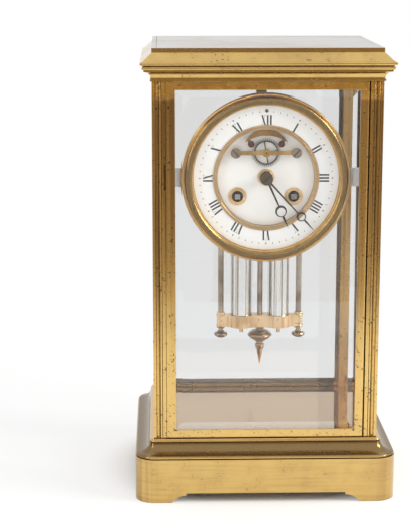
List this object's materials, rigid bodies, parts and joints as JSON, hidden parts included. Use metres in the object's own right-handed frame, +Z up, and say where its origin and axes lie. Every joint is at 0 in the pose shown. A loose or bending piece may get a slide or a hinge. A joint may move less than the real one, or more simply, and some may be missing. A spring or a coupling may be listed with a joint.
{
  "type": "crystal regulator clock",
  "caption": "Crystal regulator clock: glazed brass case with two doors, enamel dial, visible escapement and mercury pendulum",
  "frame": {"origin": "bottom centre of the plinth, on the surface the feet stand on", "axes": "+Z up, the dial and front door face -Y, +X to the right as seen from the front; millimetres in the source, metres in the row"},
  "size_m": [0.1738, 0.1522, 0.3],
  "materials": {
    "case_brass": "aged polished brass with brown lacquer and spots",
    "gilt_brass": "polished gilt brass",
    "movement_brass": "brushed brass",
    "steel": "plain polished steel",
    "dull_steel": "dulled plated steel",
    "blued_steel": "blue-black steel",
    "enamel": "fired white enamel",
    "clear_glass": "clear bevelled glass",
    "quicksilver": "liquid mercury",
    "garnet": "polished dark red stone"
  },
  "bodies": {
    "case": {"base_plinth": "case_brass", "base_moulding": "case_brass", "front_pillars": "case_brass", "back_pillars": "case_brass", "side_rails": "case_brass", "cornice": "case_brass", "top_plate": "case_brass", "side_glasses": "clear_glass", "case_screws": "steel", "hinge_pins": "steel", "movement_brackets": "movement_brass", "dial_bezel": "gilt_brass", "dial_plate": "movement_brass", "chapter_ring": "enamel", "inner_ring": "gilt_brass", "dial_centre": "enamel", "dial_grommets": "gilt_brass", "front_plate": "movement_brass", "back_plate": "movement_brass", "plate_pillars": "movement_brass", "movement_screws": "steel", "escapement_bridge": "gilt_brass", "suspension_cock": "movement_brass", "bell_stand": "steel", "bell": "gilt_brass"},
    "front_door": {"front_door_frame": "case_brass", "front_glass": "clear_glass", "front_catch": "gilt_brass"},
    "back_door": {"back_door_frame": "case_brass", "back_glass": "clear_glass", "back_catch": "gilt_brass"},
    "minute_train": {"centre_wheel": "movement_brass", "cannon_pinion": "movement_brass", "minute_hand": "blued_steel", "hand_nut": "blued_steel"},
    "hour_train": {"hour_wheel": "movement_brass", "hour_hand": "blued_steel"},
    "motion_wheel": {"minute_wheel": "movement_brass"},
    "going_second": {"second_wheel": "movement_brass"},
    "going_drum": {"going_barrel": "movement_brass"},
    "going_third": {"third_wheel": "movement_brass"},
    "going_escape": {"escape_wheel": "movement_brass"},
    "anchor_arbor": {"anchor": "movement_brass", "pallets": "garnet"},
    "pendulum": {"suspension_spring": "steel", "pendulum_frame": "dull_steel", "pendulum_cradle": "gilt_brass", "mercury_jars": "clear_glass", "mercury": "quicksilver", "pendulum_knobs": "gilt_brass"},
    "going_winder": {"going_arbor": "steel"},
    "going_pawl": {"going_click": "steel"},
    "strike_second": {"strike_second_wheel": "movement_brass"},
    "strike_drum": {"strike_barrel": "movement_brass"},
    "strike_pins": {"strike_pin_wheel": "movement_brass"},
    "strike_vane": {"strike_fly": "movement_brass"},
    "strike_winder": {"strike_arbor": "steel"},
    "strike_pawl": {"strike_click": "steel"},
    "hammer_arbor": {"hammer": "steel"},
    "rating_rod": {"rating_arbor": "steel"}
  },
  "joints": [
    {"name": "front_door_hinge", "type": "hinge", "parent": "case", "child": "front_door", "pos_m": [0.064, -0.062, 0.16], "axis": [0, 0, 1], "range_deg": [0, 95]},
    {"name": "back_door_hinge", "type": "hinge", "parent": "case", "child": "back_door", "pos_m": [-0.064, 0.062, 0.16], "axis": [0, 0, 1], "range_deg": [0, 95]},
    {"name": "minute_hand_turn", "type": "hinge", "parent": "case", "child": "minute_train", "pos_m": [0, 0, 0.2146], "axis": [0, 1, 0], "continuous": true},
    {"name": "hour_hand_turn", "type": "hinge", "parent": "case", "child": "hour_train", "pos_m": [0, 0, 0.2146], "axis": [0, 1, 0], "continuous": true},
    {"name": "minute_wheel_turn", "type": "hinge", "parent": "case", "child": "motion_wheel", "pos_m": [0, 0, 0.205], "axis": [0, 1, 0], "continuous": true},
    {"name": "second_wheel_turn", "type": "hinge", "parent": "case", "child": "going_second", "pos_m": [0.00092, 0, 0.19752], "axis": [0, 1, 0], "continuous": true},
    {"name": "going_barrel_turn", "type": "hinge", "parent": "case", "child": "going_drum", "pos_m": [0.0186, 0, 0.202], "axis": [0, 1, 0], "continuous": true},
    {"name": "third_wheel_turn", "type": "hinge", "parent": "case", "child": "going_third", "pos_m": [0.01128, 0, 0.2238], "axis": [0, 1, 0], "continuous": true},
    {"name": "escape_wheel_turn", "type": "hinge", "parent": "case", "child": "going_escape", "pos_m": [0, 0, 0.2311], "axis": [0, 1, 0], "continuous": true},
    {"name": "strike_second_turn", "type": "hinge", "parent": "case", "child": "strike_second", "pos_m": [-0.02252, 0, 0.21981], "axis": [0, 1, 0], "continuous": true},
    {"name": "strike_barrel_turn", "type": "hinge", "parent": "case", "child": "strike_drum", "pos_m": [-0.0186, 0, 0.202], "axis": [0, 1, 0], "continuous": true},
    {"name": "strike_pin_wheel_turn", "type": "hinge", "parent": "case", "child": "strike_pins", "pos_m": [-0.01409, 0, 0.23149], "axis": [0, 1, 0], "continuous": true},
    {"name": "strike_fly_turn", "type": "hinge", "parent": "case", "child": "strike_vane", "pos_m": [-0.02007, 0, 0.24172], "axis": [0, 1, 0], "continuous": true},
    {"name": "going_winding", "type": "hinge", "parent": "case", "child": "going_winder", "pos_m": [0.0186, 0, 0.202], "axis": [0, 1, 0], "range_deg": [0, 1440]},
    {"name": "strike_winding", "type": "hinge", "parent": "case", "child": "strike_winder", "pos_m": [-0.0186, 0, 0.202], "axis": [0, 1, 0], "range_deg": [0, 1440]},
    {"name": "going_click_lift", "type": "hinge", "parent": "case", "child": "going_pawl", "pos_m": [0.0301, 0, 0.196], "axis": [0, 1, 0], "range_deg": [0, 8]},
    {"name": "strike_click_lift", "type": "hinge", "parent": "case", "child": "strike_pawl", "pos_m": [-0.0301, 0, 0.196], "axis": [0, 1, 0], "range_deg": [-8, 0]},
    {"name": "hammer_lift", "type": "hinge", "parent": "case", "child": "hammer_arbor", "pos_m": [-0.034, 0, 0.2326], "axis": [0, 1, 0], "range_deg": [0, 12]},
    {"name": "rating_turn", "type": "hinge", "parent": "case", "child": "rating_rod", "pos_m": [0, 0, 0.2587], "axis": [0, 1, 0], "range_deg": [-720, 720]},
    {"name": "pendulum_swing", "type": "hinge", "parent": "case", "child": "pendulum", "pos_m": [0, 0.006, 0.2441], "axis": [0, 1, 0], "range_deg": [-3, 3]},
    {"name": "anchor_rock", "type": "hinge", "parent": "case", "child": "anchor_arbor", "pos_m": [0, 0.006, 0.2441], "axis": [0, 1, 0], "range_deg": [-3, 3]}
  ],
  "couplings": [
    {"joint": "hour_hand_turn", "follows": "minute_hand_turn", "ratio": 0.083333},
    {"joint": "minute_wheel_turn", "follows": "minute_hand_turn", "ratio": -0.33333},
    {"joint": "second_wheel_turn", "follows": "minute_hand_turn", "ratio": -0.125},
    {"joint": "going_barrel_turn", "follows": "minute_hand_turn", "ratio": 0.011364},
    {"joint": "third_wheel_turn", "follows": "minute_hand_turn", "ratio": -12},
    {"joint": "escape_wheel_turn", "follows": "minute_hand_turn", "ratio": 132},
    {"joint": "strike_barrel_turn", "follows": "strike_second_turn", "ratio": -0.090909},
    {"joint": "strike_pin_wheel_turn", "follows": "strike_second_turn", "ratio": -9},
    {"joint": "strike_fly_turn", "follows": "strike_second_turn", "ratio": 74.25},
    {"joint": "anchor_rock", "follows": "pendulum_swing", "ratio": 1}
  ]
}
